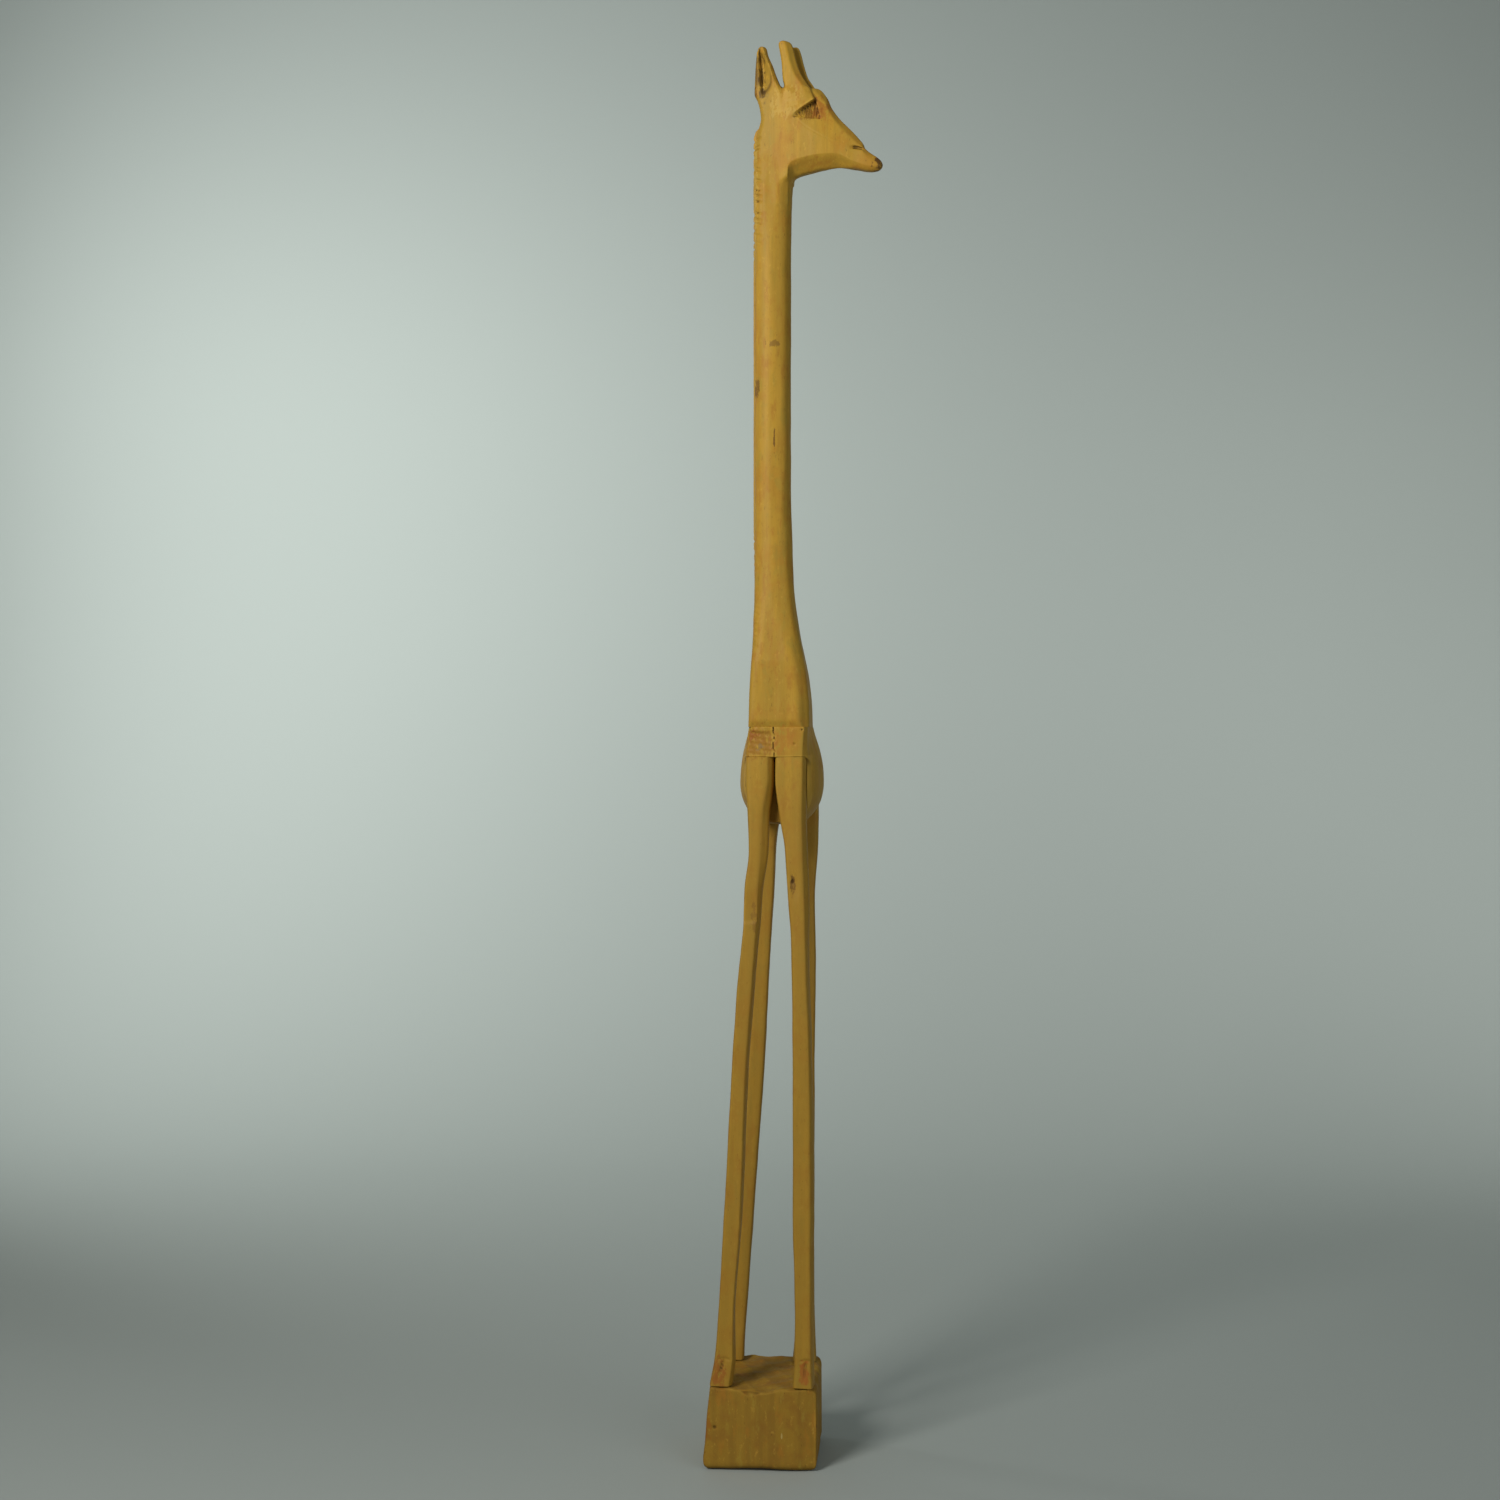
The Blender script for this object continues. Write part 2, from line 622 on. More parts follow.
legs = {
    "round": 1.6,
    "frontRight": ((492, -8.4, -10.4, 4.9, 9.6), (476, -8.4, -10.4, 4.5, 9.4),
                   (452, -8.0, -9.2, 0.7, 6.5), (427, -7.8, -8.3, -0.5, 5.7),
                   (400, -11.0, -11.4, -2.0, 1.8), (376, -11.9, -12.3, -2.9, 0.2),
                   (359, -13.5, -13.9, -4.0, -1.6), (325, -16.6, -17.0, -6.4, -4.2),
                   (270, -20.0, -20.4, -10.2, -8.2), (173, -25.0, -25.6, -13.7, -12.2),
                   (104, -29.0, -29.6, -17.9, -17.2), (78, -31.0, -31.6, -18.6, -17.2),
                   (58, -34.4, -35.2, -21.5, -19.0)),
    "frontLeft": ((492, 10.9, 10.3, 29.4, 32.1), (476, 9.9, 9.9, 29.2, 32.1),
                  (452, 13.3, 12.8, 28.5, 32.0), (427, 17.5, 16.9, 28.8, 32.8),
                  (400, 19.1, 18.5, 30.1, 34.1), (359, 21.8, 21.2, 31.2, 34.1),
                  (270, 22.8, 22.2, 34.3, 36.6), (173, 23.0, 22.4, 34.7, 37.5),
                  (104, 24.3, 23.7, 35.0, 37.2), (78, 24.0, 23.4, 35.2, 37.2),
                  (58, 23.0, 22.3, 36.3, 37.4)),
    "rearRight": ((492, -5.5, -6.5, 13.0, 14.3), (476, -5.5, -6.4, 12.0, 13.8),
                  (452, -5.5, -6.2, 8.0, 10.0), (427, -5.6, -6.2, 5.5, 6.6), (403, -6.6, -7.1, 4.5, 5.7),
                  (345, -10.0, -10.6, 1.0, 2.1), (273, -13.6, -14.2, -2.6, -1.6),
                  (172, -20.6, -21.2, -9.8, -8.8), (100, -25.6, -26.2, -14.8, -13.9),
                  (78, -27.6, -28.2, -16.4, -15.6), (58, -31.5, -32.2, -18.0, -16.6)),
    "rearLeft": ((492, 16.0, 14.9, 35.0, 36.0), (476, 16.6, 15.4, 36.0, 36.9),
                 (452, 20.0, 18.8, 36.6, 37.5), (427, 23.6, 22.8, 36.0, 37.0),
                 (389, 22.6, 21.8, 33.8, 34.7), (345, 22.8, 22.0, 34.4, 35.3),
                 (273, 22.0, 21.2, 33.6, 34.5), (172, 21.6, 20.8, 33.4, 34.3),
                 (100, 21.6, 20.8, 33.4, 34.2), (78, 21.0, 20.2, 33.8, 34.8),
                 (58, 19.2, 18.4, 34.6, 35.6)),
}
# distance of the front face and of the back face from the middle of the body
legDepth = ((492, 36.3, 15.0), (484, 36.5, 18.0), (444, 36.3, 21.2), (420, 36.6, 24.0), (380, 37.0, 24.8),
            (200, 37.8, 25.6), (95, 38.2, 26.0), (74, 38.4, 24.2), (58, 38.6, 22.8))


def legField(name, end):
    rows = legs[name]

    def field(x, y, z):
        face0, side0, face1, side1 = (along(z, [(r[0], r[i]) for r in rows]) for i in (1, 2, 3, 4))
        outer = along(z, [(r[0], r[1]) for r in legDepth])
        inner = along(z, [(r[0], r[2]) for r in legDepth])
        q = y * end                       # grows outward, away from the middle of the body
        slant = 5.5 if end < 0 else 2.5
        ridge = (face0 + face1) / 2
        tip = 0.7 if name == "frontLeft" else 0.15
        ring = [(side0, inner + 1.5), (side0 + 1.5, inner), (side1 - 1.5, inner), (side1, inner + 1.5),
                (side1, outer - slant), (face1, outer), (ridge, outer), (face0, outer - tip),
                (side0, outer - slant * 0.6)]
        f = ringed(x, q, ring, legs["round"])
        f = both(f, slab(z, blockTop - 3, lapZ + 3))
        return hoofCuts(name, f, x, q, z, face0, face1, outer)
    return field


def hoofCuts(name, f, x, q, z, face0, face1, outer):
    # a nick at the top of the hoof and a groove down its front, wide above and narrow below
    h = z - blockTop
    depthIn = outer - q
    share = 0.42 if name != "frontLeft" else 0.62
    middle = face0 + (face1 - face0) * (share + 0.01 * (h - 10))
    width = along(h, [(0, 0.4), (4, 0.8), (17, 2.4), (19, 2.6)])
    depth = along(h, [(1, 0.0), (5, 0.9), (16, 1.7), (19, 0.8), (20.5, 0)])
    groove = np.maximum((np.abs(x - middle) - width * (1 - depthIn / np.maximum(depth, 0.1))) * 0.6,
                        depthIn - depth)
    f = without(f, groove, 0.6)
    nick = np.abs(h - 19.4 + 0.25 * np.abs(x - middle)) - 1.3 * (1 - depthIn / 1.1)
    return without(f, np.maximum(nick * 0.8, np.abs(x - middle) - 4), 0.8)


def kneeNotch(f, x, q, z):
    # a slice taken off the front right knee that stops at a small lip
    cut = along(z, [(374, -1), (376, 0), (379.5, 1.3), (406, 0), (410, -1)])
    return without(f, both(37.05 - cut - q, slab(z, 375, 408)), 0.3)


def knot(f, x, q, z):
    # a long dent in the front left knee, with a small hole in it
    f = without(f, ball(x, q, z, (23.6, 38.6, 403), (4.2, 3.0, 13)), 1.2)
    return without(f, ball(x, q, z, (22.7, 36.4, 406.5), (0.8, 1.8, 2.4)), 0.6)


legNodes = {"frontRight": ("leg_front_right", -1), "frontLeft": ("leg_front_left", -1),
            "rearRight": ("leg_rear_right", 1), "rearLeft": ("leg_rear_left", 1)}
ownMarks = {"frontRight": kneeNotch, "frontLeft": knot}


def makeLeg(name, node, end):
    shape = legField(name, end)

    def field(x, y, z):
        f = shape(x, y, z)
        return ownMarks[name](f, x, y * end, z) if name in ownMarks else f
    low, high = cadSize(node)
    low[2] = blockTop - 4
    high[2] = lapZ + 4
    piece = carve(name + "Leg", field, low - (5, 5, 0), high + (5, 5, 0), 0.7)
    whittle(piece, Facet=0.4)
    lap = joints["lapFront"] if end < 0 else joints["lapRear"]
    saw(piece, [((0, 0, blockTop), (0, 0, -1)), ((0, 0, lapZ + 0.2), (0, 0, 1)), ((0, lap, 0), (0, -end, 0))])
    addPeg(piece, *legFeet[node], blockTop - joints["footTenon"], blockTop + 1, joints["tenon"])
    addPeg(piece, *legTops[node], lapZ - 1, lapZ + joints["topTenon"], joints["tenon"])
    return piece


legPieces = {name: makeLeg(name, node, end) for name, (node, end) in legNodes.items()}
print("legs carved")


# body

barrel = {
    "middle": (12.8, 2.0, 474.0),
    "half": (29.6, 44.0),
    "up": 55.0,
    "down": 33.0,
    "rear": 36.0,
    "breast": -36.1,
    "leftDeeper": 0.9,     # the left half of the breast is cut further back
    "middleX": 9.8,
    # which end, its joint plane, its legs, and the left and right side of the room cut for them
    "rooms": ((-1, "lapFront", ("frontRight", "frontLeft"), -7.8, 28.3),
              (1, "lapRear", ("rearRight", "rearLeft"), -4.5, 33.5)),
}


def bodyField(x, y, z):
    b = barrel
    cx, cy, cz = b["middle"]
    dz = z - cz
    q = np.sqrt(((x - cx) / b["half"][0]) ** 2 + ((y - cy) / b["half"][1]) ** 2
                + np.where(dz > 0, dz / b["up"], dz / b["down"]) ** 2)
    round_ = (q - 1) * b["half"][0]
    round_ = both(round_, y - b["rear"], 8)
    round_ = both(round_, b["breast"] + 3.4 - y, 5)
    left = along(z, [(444, -9.2), (492, -10.4), (503, -9.6), (513, -7.9)])
    right = along(z, [(444, 31.5), (492, 32.2), (513, 33.3)])
    split = b["middleX"] + 0.5 * np.sin(z * 0.6) + 0.3 * np.sin(z * 1.7)
    breast = b["breast"] + b["leftDeeper"] * np.clip((split - x) / 0.8, 0, 1) * np.clip((510.5 - z) / 2, 0, 1)
    breast = breast + 0.02 * np.abs(x - split)
    # torn grain at the left half's top, and two pinholes
    torn = np.sin(x * 0.8 + z * 1.1) * np.sin(z * 0.6 - x * 0.5)
    torn = torn + 0.5 * np.sin(x * 1.7 + 1 - z) * np.sin(z * 1.9)
    breast = breast + 0.3 * torn * np.clip((split - x) / 2, 0, 1) * np.clip((z - 493) / 3, 0, 1)
    pin = np.minimum(np.hypot(x - 29.3, z - 511), np.hypot(x - 23.9, z - 501.2))
    breast = breast + 1.4 * np.clip(1.1 - pin, 0, 1)
    core = ringed(x, y, [(left, 18), (left, breast + 4), (left + 2.2, breast), (right - 2.8, breast),
                         (right, breast + 5), (right, 18), (right - 8, 33), (left + 8, 33)], 0.9)
    f = either(round_, both(core, lapZ - 0.1 - z), 5)
    f = both(f, bellyZ + 0.5 - z, 4)
    f = without(f, vGroove(x, y - breast, split, 0.45, 1.6), 0.2)
    f = both(f, ((breast - y) + z - shoulderZ + 0.5 + 0.2 * np.sin(x * 0.9)) / 1.41, 0.3)
    f = both(f, z - shoulderZ - 3)
    for end, lap, names, low, high in b["rooms"]:
        room = np.maximum(x - high, low - x)
        for name in names:
            room = np.minimum(room, legField(name, end)(x, y, z) - 0.1)
        f = without(f, np.maximum(np.maximum(room, z - lapZ), end * (joints[lap] - y)))
    return f


dowelX, dowelY, dowelR, dowelReach = joints["neckDowel"]
bodyHoles = [(*legTops[n], joints["tenon"] + joints["slack"], lapZ - 5, lapZ + joints["topTenon"] + 0.6)
             for n in legTops]
bodyHoles.append((dowelX, dowelY, dowelR, shoulderZ - dowelReach, shoulderZ + 5))
bodyPiece = carve("body", bodyField, bodyLow - 5, bodyHigh + 5, 0.6, bodyHoles)
whittle(bodyPiece, bodyHoles)
saw(bodyPiece, [((0, 0, shoulderZ), (0, 0, 1))])
print("body carved")


# neck and head, carved as one field and sawn apart at the joint

neck = {
    "left": -5.4,
    "right": 20.8,
    "front": -29.4,
    "back": -3.6,
    "footLeft": -8.3,
    "footRight": 34.2,
    "footFront": -36.8,
    "footBack": 33.0,
    "maneFacet": 5.4,      # width of the notched facet at the front left
    "sideFacet": 7.2,
    "rumpFacet": 12.0,
    "flare": ((513, 1), (528, 0.97), (548, 0.84), (574, 0.5), (602, 0.22), (630, 0.1), (688, 0), (950, 0)),
    "round": ((513, 1.5), (560, 3), (620, 7), (830, 7), (880, 3), (950, 1.5)),
    # how deep the mane's nicks are at each height
    "maneLevel": ((560, 0.0), (575, 0.8), (632, 0.7), (645, 0.1), (838, 0.1), (852, 1.0), (918, 1.0),
                  (932, 0)),
}

headShape = {
    "round": 1.4,
    "bottom": ((-14, -14), (12.7, -14), (13.1, -1), (13.8, 3), (16, 5.2), (20, 6.8), (26, 8), (36, 9.6),
               (47, 10.2), (58.2, 8.7), (70.1, 6.4), (74, 6.7), (78.5, 9.6)),
    "top": ((-14, 70), (30, 69), (34, 66), (38.8, 60), (42, 52.3), (61.7, 29.2), (64.3, 25.9), (65.4, 22.9),
            (74.6, 15.4), (78.5, 12)),
    "back": ((-10, -12.6), (20, -12.6), (34, -11.2), (47, -7.2), (58, -7.4), (66, -8.2), (80, -9)),
    "backBevel": ((-20, 5.4), (34, 5.2), (50, 3.0), (60, 2.0)),
    "frontBevel": ((-20, 18.6), (-6, 18.8), (0, 20.5), (4, 25), (8, 35), (12, 96)),
    "width": ((-13, 11.0), (0, 12.6), (18, 13.2), (30, 13), (45, 10.5), (58, 8.2), (66, 7), (78, 4.4)),
    "crease": ((0, 60), (16, 50), (20, 43), (43, 28), (62, 20), (80, 14)),
    "nosePlane": 0.2,
    "jawPlane": 1.15,
    "jawHeight": ((10, 9), (45, 8.5), (60, 4), (78, 2.5)),
    "browWidth": ((8, 11.6), (17, 12.8), (24, 13.0), (32, 12.5)),
    "socket": ((15.8, 44.6), (36.2, 42.3), (31.8, 58.0)),
    "socketDepth": 2.8,
    "gouge": 1.75,         # spacing of the strokes in the eye socket
    "tip": 78.1,
}

# edges of the ears and horns against height above the neck joint
ear = {
    "left": ((44, -5.0), (50, -6.4), (57, -8.6), (63, -11.2), (76, -10.9), (91, -9.9), (95, -8.6)),
    "right": ((44, 8), (60, 9.5), (67, 7.9), (68.5, 7.0), (76, 3.7), (83, 1.3), (91, -2.0), (95, -2.9)),
    "inside": 4.7,
    "outside": 12.4,
    "top": 95.6,
    "groove": 4.6,
    "farLean": 4.0,        # the far ear leans back this much more
}
horn = {
    "left": ((60, 10.6), (67, 9.8), (73, 8.6), (83, 7.9), (91, 6.6), (97, 5.6), (100, 5.6)),
    "right": ((60, 30), (68, 26.2), (76, 21.2), (83, 18.7), (95, 15.4), (99, 13.8)),
    "inside": 2.5,
    "outside": 10.7,
    "top": 99.0,
    "farShift": 3.3,
}


def headAxes(x, y, z):
    c, s = math.cos(headFrame["turn"]), math.sin(headFrame["turn"])
    dx, dy = x - headFrame["axisX"], y - headFrame["axisY"]
    return dx * c + dy * s, dy * c - dx * s, z - napeZ


def neckEdges(z):
    # how far the foot has flared out, the left and front faces, and the width of the mane's facet
    n = neck
    t = along(z, n["flare"])
    left = n["left"] + (n["footLeft"] - n["left"]) * t ** 3
    front = n["front"] + (n["footFront"] - n["front"]) * np.minimum(1, 1.4 * t)
    return t, left, front, n["maneFacet"] * (1 - 0.75 * t)


def neckField(x, y, z):
    n = neck
    t, left, front, mane = neckEdges(z)
    right = n["right"] + (n["footRight"] - n["right"]) * t
    back = n["back"] + (n["footBack"] - n["back"]) * t ** 2
    sink = 1.6 * np.clip((z - napeZ + 4) / 22, 0, 1)
    left, right, front = left + sink, right - sink, front + sink
    rump = n["rumpFacet"] * t
    ring = [(left, back - 4 - rump), (left, front + mane), (left + mane, front),
            (right - n["sideFacet"], front), (right, front + n["sideFacet"]), (right, back - 5 - rump),
            (right - 5 - rump * 0.7, back), (left + 4 + rump * 0.7, back)]
    f = ringed(x, y, ring, along(z, n["round"]))
    # the shaft runs up into the head and dies away there
    f = both(f, (z - napeZ - 22) * 0.9, 8)
    # the foot's front edge is bevelled back to the breast
    lip = (n["footFront"] + 1.7 - y) + (shoulderZ - z) * 0.4
    f = both(f, lip * 0.93, 0.5)
    return both(f, shoulderZ - 4 - z)


def nicksUp(z):
    # 1 in the middle of each nick along the mane, 0 between them
    spacing = 5.2
    near = np.abs(((z + 1.6 * np.sin(z * 0.37) + 0.8 * np.sin(z * 0.83)) / spacing) % 1 - 0.5) * spacing
    return np.clip(1 - near / 1.2, 0, 1)


def maneNotches(x, y, z, left, front, width):
    # slanting nicks along the mane's facet, and a thin line beside it
    across = (x - left) - (y - front)
    here = np.clip((2.5 - np.abs(x + y - left - front - width)) / 1.0, 0, 1)
    level = along(z, neck["maneLevel"])
    nick = 1.1 * nicksUp(z + across * 0.2) * np.clip((width + 0.8 - np.abs(across)) / 1.2, 0, 1)
    line = 0.55 * np.exp(-((across - width - 0.3) / 0.6) ** 2)
    return (nick + line) * here * level


def headOnly(u, v, h):
    s = headShape
    bottom, top, width = along(u, s["bottom"]), along(u, s["top"]), along(u, s["width"])
    q = np.abs(v)
    crease = along(u, s["crease"])
    nose = width - s["nosePlane"] * np.maximum(h - crease, 0) * np.clip((u - 12) / 8, 0, 1)
    nose = nose - 0.13 * np.maximum(h - 50, 0) * np.clip((20 - u) / 8, 0, 1)
    jawLine = bottom + along(u, s["jawHeight"])
    jaw = width + s["jawPlane"] * np.minimum(h - jawLine, 0) * np.clip((u - 7) / 9, 0, 1)
    socket = -ringed(u, h, s["socket"], 0)
    # deepest right under the brow, running out towards the cheek
    run = np.clip((h - 44.3 + 0.106 * (u - 17.1)) / 6.0, 0, 1) ** 0.6
    strokes = 0.8 + 0.2 * np.cos(u * 2 * math.pi / s["gouge"])
    under = np.clip(socket / 0.7, 0, 1) * (0.32 + 0.68 * run) * strokes
    slit = h - 22.4 + 0.12 * (u - 60) + 0.02 * (u - 60) ** 2
    nostril = 2.8 * np.exp(-(slit / 1.1) ** 2) * np.clip((u - 55.5) / 3, 0, 1) * np.clip((68 - u) / 3, 0, 1)
    line = 0.35 * np.exp(-((h - crease + 0.6) / 0.5) ** 2)
    line = line * np.clip((u - 17) / 3, 0, 1) * np.clip((48 - u) / 12, 0, 1)
    f = both(q - nose + under * s["socketDepth"] + nostril + line, q - jaw, 3.5)
    f = both(f, (h - top) * 0.68, s["round"])
    f = both(f, (q - nose + (h - top) * 0.62 + 3.6) / 1.35, 0.8)
    f = both(f, (bottom - h) * 0.9, s["round"])
    # the back of the head, its bevels and the beads of the mane's end
    back = along(h, s["back"])
    f = both(f, back - u, 2)
    bevel = (q - width - u + back + along(h, s["backBevel"])) / 1.41
    beads = 0.9 * nicksUp(h + napeZ) * np.clip((42 - h) / 4, 0, 1) * (v < 0)
    f = both(f, bevel + beads, 1.0)
    f = both(f, (u + q - along(h, s["frontBevel"]) - 3 * np.maximum(u - 16, 0)) / 1.41, 2.0)
    f = both(f, u - s["tip"], s["round"] * 2)
    browLow = 46.5 + 0.68 * (u - 17)
    thick = along(u, s["browWidth"]) - 0.22 * np.maximum(h - 51, 0)
    brow = both(q - thick, (u - 31.8 + 0.45 * (h - 57)) * 0.9, 2.4)
    brow = both(brow, (browLow - h) * 0.8, 0.4)
    brow = np.maximum(brow, np.maximum(8 - u, h - 68))
    return either(f, brow, 0.5)


def earEdges(h, side):
    lean = 0 if side < 0 else -1 - (ear["farLean"] - 1) * np.clip((h - 67) / 29, 0, 1)
    return along(h, ear["left"]) + lean, along(h, ear["right"]) + lean


def earField(u, v, h, side):
    a, b = earEdges(h, side)
    if side > 0:
        a = np.maximum(a, -12.7)
    q = v * side
    face = along(h, [(44, 8), (56, 11.0), (66, ear["outside"]), (100, ear["outside"] - 0.6)])
    ring = [(a, ear["inside"]), (b, ear["inside"]), (b, face - 3), (b - 2.0, face), (a + 2.2, face),
            (a, face - 2.6)]
    f = ringed(u, q, ring, 0.6)
    return both(f, h - ear["top"] + 0.02 * (u - a - 3) ** 2, 1.0)


def earHollow(u, v, h, side):
    # a groove with a steep wall at the back and a long slope in front
    a, b = earEdges(h, side)
    s = (u - a) / (b - a)
    reach = along(h, [(57, 0.5), (66, 0.72), (80, 0.9), (95, 0.9)])
    depth = np.minimum((s - 0.25) / 0.1, (reach - s) / 0.45)
    full = along(h, [(52, 0), (62, 0.3), (72, 0.9), (88, 1), (95, 0.3)])
    depth = np.clip(depth, 0, 1) * ear["groove"] * full
    return np.maximum(ear["outside"] - depth - v * side, 0.05 - depth)


def hornField(u, v, h, side):
    shift = horn["farShift"] if side > 0 else 0
    a = along(h, horn["left"]) + shift
    b = along(h, horn["right"]) + shift
    q = v * side
    ring = [(a, horn["inside"]), (b, horn["inside"]), (b, 6.5), (b - 4.2, horn["outside"]),
            (a + 1.5, horn["outside"]), (a, 9)]
    f = ringed(u, q, ring, 0.8)
    f = both(f, h - horn["top"] + 0.03 * (u - a - 4.5) ** 2 + (0.6 if side > 0 else 0), 1.6)
    return both(f, 58 - h)


def neckHead(x, y, z):
    _, left, front, facet = neckEdges(z)
    nicks = maneNotches(x, y, z, left, front, facet)
    return either(neckField(x, y, z), headOnly(*headAxes(x, y, z)), 2.0) + nicks


def headField(x, y, z):
    u, v, h = headAxes(x, y, z)
    f = neckHead(x, y, z)
    # the crown stops just under the joint with the horns and ears
    f = both(f, h - 66.4, 2)
    grown = f
    for side in (-1, 1):
        grown = np.minimum(grown, either(f, earField(u, v, h, side), 2.6))
        grown = np.minimum(grown, either(f, hornField(u, v, h, side), 2.6))
    for side in (-1, 1):
        grown = without(grown, earHollow(u, v, h, side), 0.3)
    return grown


headX, headY, headR, headReach = joints["headDowel"]
topNodes = ("horn_right", "horn_left", "ear_right", "ear_left")
topPegs = {n: pegCentre(n, crownZ - 12, crownZ - 2) for n in topNodes}
headHoles = [(*topPegs[n], joints["peg"] + joints["slack"], crownZ - joints["pegLength"] - 0.6, crownZ - 0.01)
             for n in topNodes]
headHoles.append((headX, headY, headR, napeZ - 8, napeZ + headReach))
neckHoles = [(dowelX, dowelY, dowelR, shoulderZ - 8, shoulderZ + dowelReach),
             (headX, headY, headR, napeZ - headReach, napeZ + 8)]


neckPiece = carve("neck", neckHead, (neckLow[0] - 5, neckLow[1] - 5, shoulderZ - 4),
                  (neckHigh[0] + 5, neckHigh[1] + 5, napeZ + 4), 0.8, neckHoles)
whittle(neckPiece, neckHoles)
saw(neckPiece, [((0, 0, shoulderZ), (0, 0, -1)), ((0, 0, napeZ), (0, 0, 1))])
print("neck carved")

carvedHead = carve("headTop", headField, (headLow[0] - 5, headLow[1] - 5, napeZ - 4),
                   (headHigh[0] + 5, headHigh[1] + 5, napeZ + 104), 0.5, headHoles)
whittle(carvedHead, headHoles, Facet=0.3)


def islands(piece, count):
    # the separate shells of a mesh, as new pieces
    bm = bmesh.new()
    bm.from_mesh(piece.data)
    seen, groups = set(), []
    for v in bm.verts:
        if v.index in seen:
            continue
        stack, group = [v], []
        seen.add(v.index)
        while stack:
            here = stack.pop()
            group.append(here.index)
            for e in here.link_edges:
                other = e.other_vert(here)
                if other.index not in seen:
                    seen.add(other.index)
                    stack.append(other)
        groups.append(group)
    bm.free()
    groups.sort(key=len, reverse=True)
    made = []
    for group in groups[:count]:
        keep = set(group)
        part = bmesh.new()
        part.from_mesh(piece.data)
        bmesh.ops.delete(part, geom=[v for v in part.verts if v.index not in keep], context="VERTS")
        mesh = bpy.data.meshes.new("island")
        part.to_mesh(mesh)
        part.free()
        made.append(mesh)
    return made


headPiece = placed("head", carvedHead.data.copy())
saw(headPiece, [((0, 0, napeZ), (0, 0, -1)), ((0, 0, crownZ), (0, 0, 1))])
saw(carvedHead, [((0, 0, crownZ), (0, 0, -1))])
topPieces = {}
for mesh in islands(carvedHead, 4):
    co = np.array([v.co for v in mesh.vertices]) / mm
    middle = (co.min(0) + co.max(0)) / 2
    node = min(topNodes, key=lambda n: np.hypot(*(topPegs[n] - middle[:2])))
    mesh.materials.clear()
    mesh.materials.append(wood)
    piece = placed(node, mesh)
    addPeg(piece, *topPegs[node], crownZ - joints["pegLength"], crownZ + 1, joints["peg"])
    topPieces[node] = piece
bpy.data.objects.remove(carvedHead)
print("head carved:", sorted(topPieces))


# mane: a thin board let into the neck, notched along its crest

mane = {
    "crest": 14.55,        # from the neck's axis
    "tall": 5.2,
    "width": 4.3,
    "notch": 6.4,
    "notchDepth": 1.1,
}


def makeMane():
    low, high = cadSize("mane")
    angle = headFrame["maneTurn"]
    outward = Vector((math.cos(angle), math.sin(angle), 0))
    radius = mane["crest"]
    lowZ, highZ = low[2], high[2]
    ax, ay = headFrame["axisX"], headFrame["axisY"]

    def field(x, y, z):
        a = (x - ax) * outward.x + (y - ay) * outward.y
        b = -(x - ax) * outward.y + (y - ay) * outward.x
        crest = along(z, [(lowZ, radius - 2.5), (lowZ + 25, radius - 1.1), (lowZ + 90, radius - 0.15),
                          (highZ - 8, radius - 0.15), (highZ, radius - 2.5)])
        wave = np.abs(((z + 1.2 * np.sin(z * 0.37) + b * 0.5) / mane["notch"]) % 1 - 0.5) * 2
        cut = along(z, [(lowZ, 1), (640, 1), (650, 0.1), (835, 0.1), (850, 1), (highZ, 1)])
        crest = crest - np.clip(1 - wave * 2.6, 0, 1) * mane["notchDepth"] * cut
        g = both(a - crest, radius - mane["tall"] - a, 0.3)
        g = both(g, np.abs(b) - mane["width"] / 2, 0.8)
        return both(g, slab(z, lowZ + 0.1, highZ - 0.1), 0.6)
    piece = carve("mane", field, low - 2, high + 2, 0.6)
    whittle(piece, Facet=0.1, Wobble=0.1)
    return piece


manePiece = makeMane()


# tail

tail = {
    "width": 5.8,
    "tuftWidth": 7.8,
    "strand": 1.7,         # spacing of the strands in the tuft
    "strandDepth": 0.35,
}


def makeTail():
    low, high = cadSize("tail")
    midX = (low[0] + high[0]) / 2
    half = tail["width"] / 2

    def field(x, y, z):
        tuft = along(z, [(low[2], 2.2), (low[2] + 8, tail["tuftWidth"] / 2), (low[2] + 18, 2.7),
                         (high[2], half)])
        near = along(z, [(low[2], 36.9), (lapZ - 1, 36.75), (lapZ + 0.5, low[1]), (high[2], low[1])])
        far = along(z, [(low[2], 38.6), (low[2] + 8, 39.5), (low[2] + 20, 38.6), (high[2] - 2, 38.6),
                        (high[2], 38.2)])
        g = both(np.abs(x - midX) - np.minimum(tuft, half + 1), np.maximum(near - y, y - far), 0.8)
        strands = tail["strandDepth"] * np.cos(x * math.tau / tail["strand"])
        g = g + strands * np.clip((low[2] + 20 - z) / 8, 0, 1) * (y > 37.5)
        return both(g, slab(z, low[2] + 0.2, high[2] - 0.1), 0.6)
    piece = carve("tail", field, low - 2, high + 2, 0.4)
    whittle(piece, Facet=0.1, Wobble=0.1)
    return piece


tailPiece = makeTail()
print("mane and tail carved")


# dowels, fluted so that the glue can spread

dowel = {
    "Radius": 8.0,
    "Half Length": 30.0,
    "Flutes": 18,
    "Flute Depth": 0.3,
}


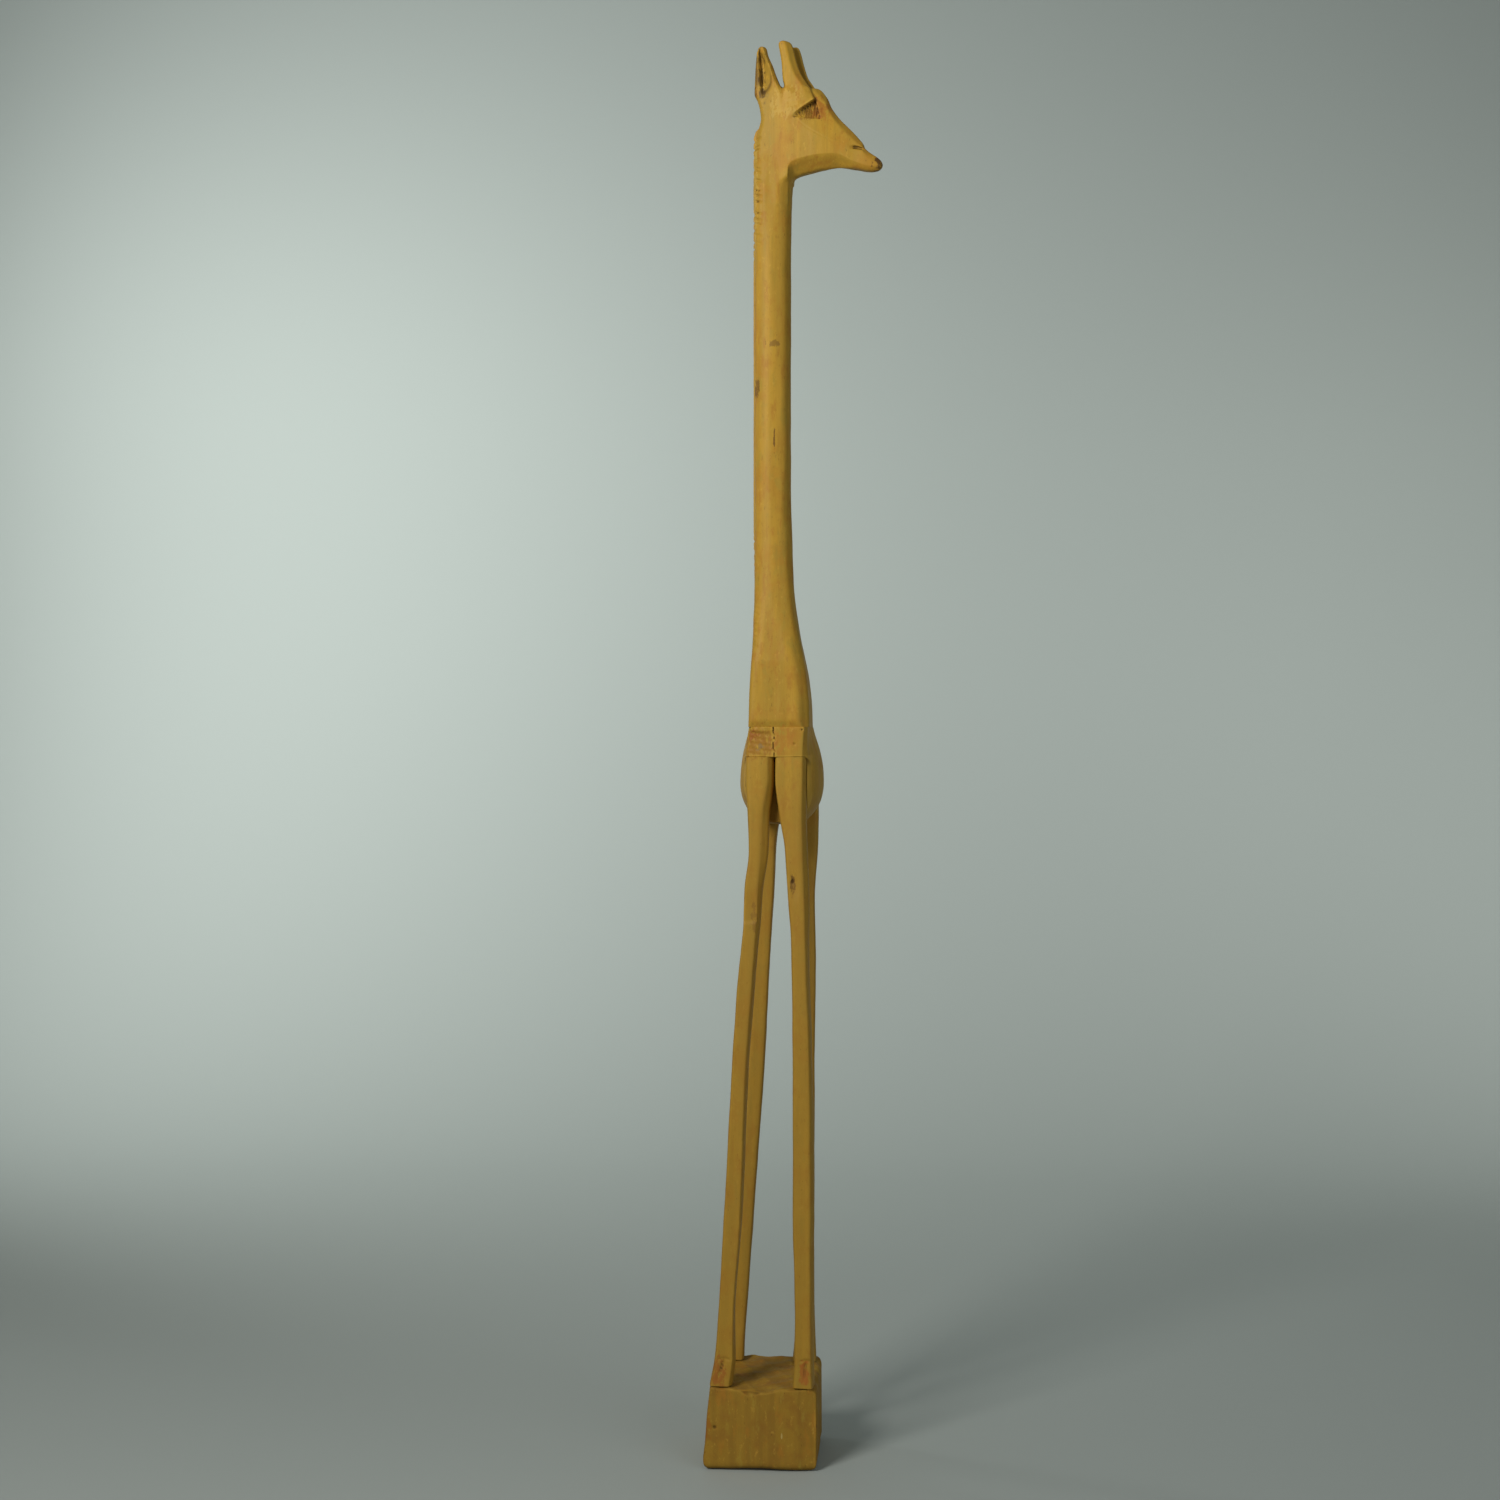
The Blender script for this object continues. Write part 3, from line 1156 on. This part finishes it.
def dowelTree():
    tree, nodes, given = geometryTree("flutedDowel", {**dowel, "Material": None})
    line = nodes.add("GeometryNodeMeshToCurve", {}, {"Mesh": given["Geometry"]})
    circle = nodes.add("GeometryNodeCurvePrimitiveCircle", {}, {"Resolution": 144,
                                                                "Radius": given["Radius"] * 0.001})
    share = nodes.add("GeometryNodeSplineParameter")
    wave = (share * math.tau * given["Flutes"]).maths("COSINE")
    shrink = 1.0 - (wave * 0.5 + 0.5) ** 4.0 * given["Flute Depth"] / given["Radius"]
    place = nodes.add("GeometryNodeInputPosition")
    pulled = nodes.vector("SCALE", place, scale=shrink)
    fluted = nodes.add("GeometryNodeSetPosition", {}, {"Geometry": circle, "Position": pulled})
    solid = nodes.add("GeometryNodeCurveToMesh", {},
                      {"Curve": line, "Profile Curve": fluted, "Fill Caps": True})
    closeTree(nodes, solid, given["Material"])
    return tree


flutes = dowelTree()


def makeDowel(name, x, y, z, radius, half):
    ends = [(-half, 0.9), (-half + 1, 1.0), (half - 1, 1.0), (half, 0.9)]
    mesh = bpy.data.meshes.new(name)
    mesh.from_pydata([(x * mm, y * mm, (z + d) * mm) for d, _ in ends], [(0, 1), (1, 2), (2, 3)], [])
    piece = placed(name, mesh)
    runTree(piece, flutes, {**dowel, "Radius": radius, "Half Length": half, "Material": dowelWood})
    return piece


neckDowel = makeDowel("neckDowel", dowelX, dowelY, shoulderZ, dowelR - 0.15, dowelReach - 0.7)
headDowel = makeDowel("headDowel", headX, headY, napeZ, headR - 0.15, headReach - 0.7)
print("dowels turned")


# handing the pieces to the frame

made = {
    "base_block": (basePiece, "block_wood"),
    "body": (bodyPiece, "carved_wood"),
    "neck": (neckPiece, "carved_wood"),
    "head": (headPiece, "carved_wood"),
    "mane": (manePiece, "carved_wood"),
    "tail": (tailPiece, "carved_wood"),
    "neck_dowel": (neckDowel, "dowel_wood"),
    "head_dowel": (headDowel, "dowel_wood"),
}
for name, (node, end) in legNodes.items():
    made[node] = (legPieces[name], "carved_wood")
for node, piece in topPieces.items():
    made[node] = (piece, "carved_wood")
total = 0
for node, (piece, slotName) in made.items():
    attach(piece, "root")
    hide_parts(node)
    piece.data.calc_loop_triangles()
    count = len(piece.data.loop_triangles)
    total += count
    print(node, count, "triangles")
print("total", total, "triangles")


# room, light and camera

studio = {
    "floor": rgb(165, 172, 168),
    "bendFrom": 0.9,
    "bend": 1.0,
    "air": (0.80, 0.88, 0.86, 1),
    "airStrength": 0.17,
    # place, what it points at, diameter, watts, colour and spread of each lamp
    "lamps": {
        "key": ((-0.66, -1.08, 1.12), (0, 0, 0.8), 0.5, 15.2, (1, 0.98, 0.94), 180),
        "fill": ((1.2, -1.3, 0.7), (0, 0, 0.5), 1.4, 6.2, (0.95, 0.98, 1), 180),
        "wallLeft": ((-1.45, 0.6, 1.1), (-0.2, 1.9, 0.9), 0.5, 17.5, (0.97, 1, 0.98), 140),
        "wallRight": ((1.5, 0.6, 0.7), (0.4, 1.9, 0.6), 0.5, 3.5, (0.98, 1, 0.97), 110),
    },
    "lens": 48,
    "cameraTurn": math.radians(5),
    "cameraAway": 1.415,
    "cameraAside": -0.0098,
    "cameraHeight": 0.497,
}


def makeBackdrop():
    # the sheet turns up well behind the statue, past every side that it is looked at from
    foot, bend = studio["bendFrom"], studio["bend"]
    profile = [(-3.0, 0.0)]
    for i in range(25):
        a = i / 24 * math.pi / 2
        profile.append((foot + bend * math.sin(a), bend * (1 - math.cos(a))))
    profile.append((foot + bend, 3.5))
    points, quads = [], []
    for i, (y, z) in enumerate(profile):
        points += [(-4, y, z - 0.0002), (4, y, z - 0.0002)]
        if i:
            quads.append((2 * i - 2, 2 * i - 1, 2 * i + 1, 2 * i))
    mesh = bpy.data.meshes.new("backdrop")
    mesh.from_pydata(points, [], quads)
    mesh.shade_smooth()
    sheet = placed("backdrop", mesh)
    paper = bpy.data.materials.new("paper")
    paper.use_nodes = True
    shader = paper.node_tree.nodes["Principled BSDF"]
    shader.inputs["Base Color"].default_value = studio["floor"]
    shader.inputs["Roughness"].default_value = 0.9
    mesh.materials.append(paper)


def makeLamp(name, place, target, size, power, colour, spread):
    data = bpy.data.lights.new(name, "AREA")
    data.shape = "DISK"
    data.size = size
    data.energy = power
    data.color = colour
    data.spread = math.radians(spread)
    lamp = placed(name, data)
    lamp.location = place
    lamp.rotation_euler = (Vector(target) - Vector(place)).to_track_quat("-Z", "Y").to_euler()


def makeCamera():
    turn, away, aside = studio["cameraTurn"], studio["cameraAway"], studio["cameraAside"]
    data = bpy.data.cameras.new("camera")
    data.lens = studio["lens"]
    data.sensor_width = 36
    camera = placed("camera", data)
    camera.location = (math.sin(turn) * away + math.cos(turn) * aside,
                       math.sin(turn) * aside - math.cos(turn) * away, studio["cameraHeight"])
    camera.rotation_euler = (math.radians(90), 0, turn)
    bpy.context.scene.camera = camera


makeBackdrop()
for name, values in studio["lamps"].items():
    makeLamp(name, *values)
makeCamera()
world = bpy.data.worlds.new("room")
bpy.context.scene.world = world
world.use_nodes = True
world.node_tree.nodes["Background"].inputs[0].default_value = studio["air"]
world.node_tree.nodes["Background"].inputs[1].default_value = studio["airStrength"]
bpy.context.scene.view_settings.view_transform = "Standard"
print("room ready")
